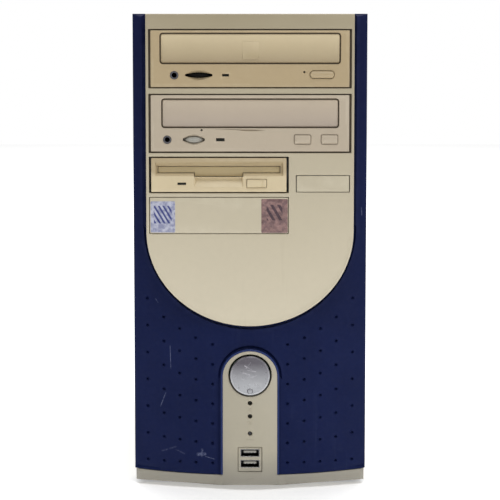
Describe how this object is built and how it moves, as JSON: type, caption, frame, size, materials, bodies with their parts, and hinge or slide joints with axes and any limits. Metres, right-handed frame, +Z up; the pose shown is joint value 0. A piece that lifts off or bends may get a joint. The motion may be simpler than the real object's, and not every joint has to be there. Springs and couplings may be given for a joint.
{
  "type": "desktop computer tower",
  "caption": "Mini tower desktop computer: bowed two-colour front with optical and floppy drives, sliding side panels, boards and power supply inside.",
  "frame": {"origin": "on the floor under the middle of the tower", "axes": "+Z up, the front faces -Y, +X is to the right seen from the front"},
  "size_m": [0.177, 0.4, 0.36],
  "materials": {
    "cream_plastic": "fine satin grain, aged cream",
    "blue_plastic": "semi-gloss dark blue, lightly scratched",
    "straw_plastic": "satin, yellowed",
    "stone_plastic": "satin grey-beige",
    "silver_plastic": "silver paint over plastic",
    "black_plastic": "satin black",
    "grey_plastic": "satin grey",
    "red_plastic": "satin red",
    "lamp_plastic": "clear tinted light pipe, unlit",
    "circuit_board": "green lacquered board",
    "ribbon_plastic": "ribbed grey cable",
    "zinc_steel": "zinc-plated sheet",
    "steel_wire": "plated wire",
    "painted_steel": "fine-textured cream paint",
    "cast_alloy": "cast and machined",
    "fin_alloy": "extruded, bare",
    "foot_rubber": "black, dull"
  },
  "bodies": {
    "case": {"bay_blank": "cream_plastic", "board_tray": "zinc_steel", "chassis_base": "zinc_steel", "chassis_front": "zinc_steel", "chassis_rear": "zinc_steel", "chassis_top": "painted_steel", "cpu_fan_frame": "black_plastic", "cpu_heatsink": "fin_alloy", "disk_lamp": "lamp_plastic", "drive_cage": "zinc_steel", "drive_ribbon": "ribbon_plastic", "floppy_bezel": "straw_plastic", "floppy_body": "zinc_steel", "front_bezel": "cream_plastic", "front_cover": "blue_plastic", "front_left_foot": "foot_rubber", "front_right_foot": "foot_rubber", "graphics_card": "circuit_board", "hard_drive": "cast_alloy", "mains_inlet": "black_plastic", "memory_module": "circuit_board", "motherboard": "circuit_board", "name_plate": "cream_plastic", "port_shield": "zinc_steel", "power_lamp": "lamp_plastic", "psu_case": "zinc_steel", "psu_fan_frame": "black_plastic", "psu_fan_guard": "steel_wire", "reader_bezel": "stone_plastic", "reader_body": "zinc_steel", "rear_left_foot": "foot_rubber", "rear_ports": "grey_plastic", "rear_right_foot": "foot_rubber", "switch_board": "circuit_board", "usb_module": "black_plastic", "writer_bezel": "straw_plastic", "writer_body": "zinc_steel"},
    "power_button": {"power_button": "silver_plastic"},
    "reset_button": {"reset_button": "grey_plastic"},
    "writer_tray_set": {"writer_tray": "grey_plastic", "writer_door": "straw_plastic"},
    "writer_gear": {"writer_gear": "grey_plastic"},
    "writer_eject_button": {"writer_eject_button": "straw_plastic"},
    "writer_wheel": {"writer_wheel": "black_plastic"},
    "reader_tray_set": {"reader_tray": "grey_plastic", "reader_door": "stone_plastic"},
    "reader_gear": {"reader_gear": "grey_plastic"},
    "reader_eject_button": {"reader_eject_button": "stone_plastic"},
    "reader_play_button": {"reader_play_button": "stone_plastic"},
    "reader_wheel": {"reader_wheel": "grey_plastic"},
    "floppy_flap": {"floppy_flap": "straw_plastic"},
    "floppy_eject_button": {"floppy_eject_button": "straw_plastic"},
    "psu_fan_rotor": {"psu_fan_rotor": "black_plastic"},
    "cpu_fan_rotor": {"cpu_fan_rotor": "black_plastic"},
    "psu_switch": {"psu_switch": "black_plastic"},
    "voltage_selector": {"voltage_selector": "red_plastic"},
    "left_side": {"left_panel": "painted_steel", "upper_thumbscrew": "zinc_steel", "lower_thumbscrew": "zinc_steel"},
    "right_side": {"right_panel": "painted_steel"}
  },
  "joints": [
    {"name": "power_button_press", "type": "slide", "parent": "case", "child": "power_button", "axis": [0, 1, 0], "range_m": [0, 0.003], "stiffness_N_per_m": 300},
    {"name": "reset_button_press", "type": "slide", "parent": "case", "child": "reset_button", "axis": [0, 1, 0], "range_m": [0, 0.0012], "stiffness_N_per_m": 250},
    {"name": "writer_tray_slide", "type": "slide", "parent": "case", "child": "writer_tray_set", "axis": [0, -1, 0], "range_m": [0, 0.128]},
    {"name": "writer_gear_spin", "type": "hinge", "parent": "case", "child": "writer_gear", "pos_m": [-0.03, -0.1727, 0.324], "axis": [0, 0, 1], "range_deg": [0, 655]},
    {"name": "writer_eject_press", "type": "slide", "parent": "case", "child": "writer_eject_button", "axis": [0, 1, 0], "range_m": [0, 0.001], "stiffness_N_per_m": 250},
    {"name": "writer_wheel_turn", "type": "hinge", "parent": "case", "child": "writer_wheel", "pos_m": [-0.0381, -0.188, 0.3146], "axis": [0, 0, 1], "range_deg": [0, 270]},
    {"name": "reader_tray_slide", "type": "slide", "parent": "case", "child": "reader_tray_set", "axis": [0, -1, 0], "range_m": [0, 0.128]},
    {"name": "reader_gear_spin", "type": "hinge", "parent": "case", "child": "reader_gear", "pos_m": [-0.03, -0.1727, 0.2765], "axis": [0, 0, 1], "range_deg": [0, 655]},
    {"name": "reader_eject_press", "type": "slide", "parent": "case", "child": "reader_eject_button", "axis": [0, 1, 0], "range_m": [0, 0.001], "stiffness_N_per_m": 250},
    {"name": "reader_play_press", "type": "slide", "parent": "case", "child": "reader_play_button", "axis": [0, 1, 0], "range_m": [0, 0.001], "stiffness_N_per_m": 250},
    {"name": "reader_wheel_turn", "type": "hinge", "parent": "case", "child": "reader_wheel", "pos_m": [-0.0419, -0.1908, 0.2666], "axis": [0, 0, 1], "range_deg": [0, 270]},
    {"name": "floppy_flap_swing", "type": "hinge", "parent": "case", "child": "floppy_flap", "pos_m": [-0.0233, -0.1929, 0.2463], "axis": [1, 0, 0], "range_deg": [0, 75], "stiffness_Nm_per_rad": 0.001},
    {"name": "floppy_eject_press", "type": "slide", "parent": "case", "child": "floppy_eject_button", "axis": [0, 1, 0], "range_m": [0, 0.004], "stiffness_N_per_m": 250},
    {"name": "psu_fan_spin", "type": "hinge", "parent": "case", "child": "psu_fan_rotor", "pos_m": [-0.028, 0.1674, 0.3127], "axis": [0, 1, 0], "continuous": true},
    {"name": "cpu_fan_spin", "type": "hinge", "parent": "case", "child": "cpu_fan_rotor", "pos_m": [0.0263, 0.0982, 0.1923], "axis": [1, 0, 0], "continuous": true},
    {"name": "psu_switch_rock", "type": "hinge", "parent": "case", "child": "psu_switch", "pos_m": [0.048, 0.1874, 0.3389], "axis": [1, 0, 0], "range_deg": [0, 16]},
    {"name": "voltage_selector_slide", "type": "slide", "parent": "case", "child": "voltage_selector", "axis": [1, 0, 0], "range_m": [0, 0.004]},
    {"name": "left_panel_slide", "type": "slide", "parent": "case", "child": "left_side", "axis": [0, 1, 0], "range_m": [0, 0.025]},
    {"name": "right_panel_slide", "type": "slide", "parent": "case", "child": "right_side", "axis": [0, 1, 0], "range_m": [0, 0.025]}
  ],
  "couplings": [
    {"joint": "writer_gear_spin", "follows": "writer_tray_slide", "rad_per_m": 88.889},
    {"joint": "reader_gear_spin", "follows": "reader_tray_slide", "rad_per_m": 88.889}
  ]
}
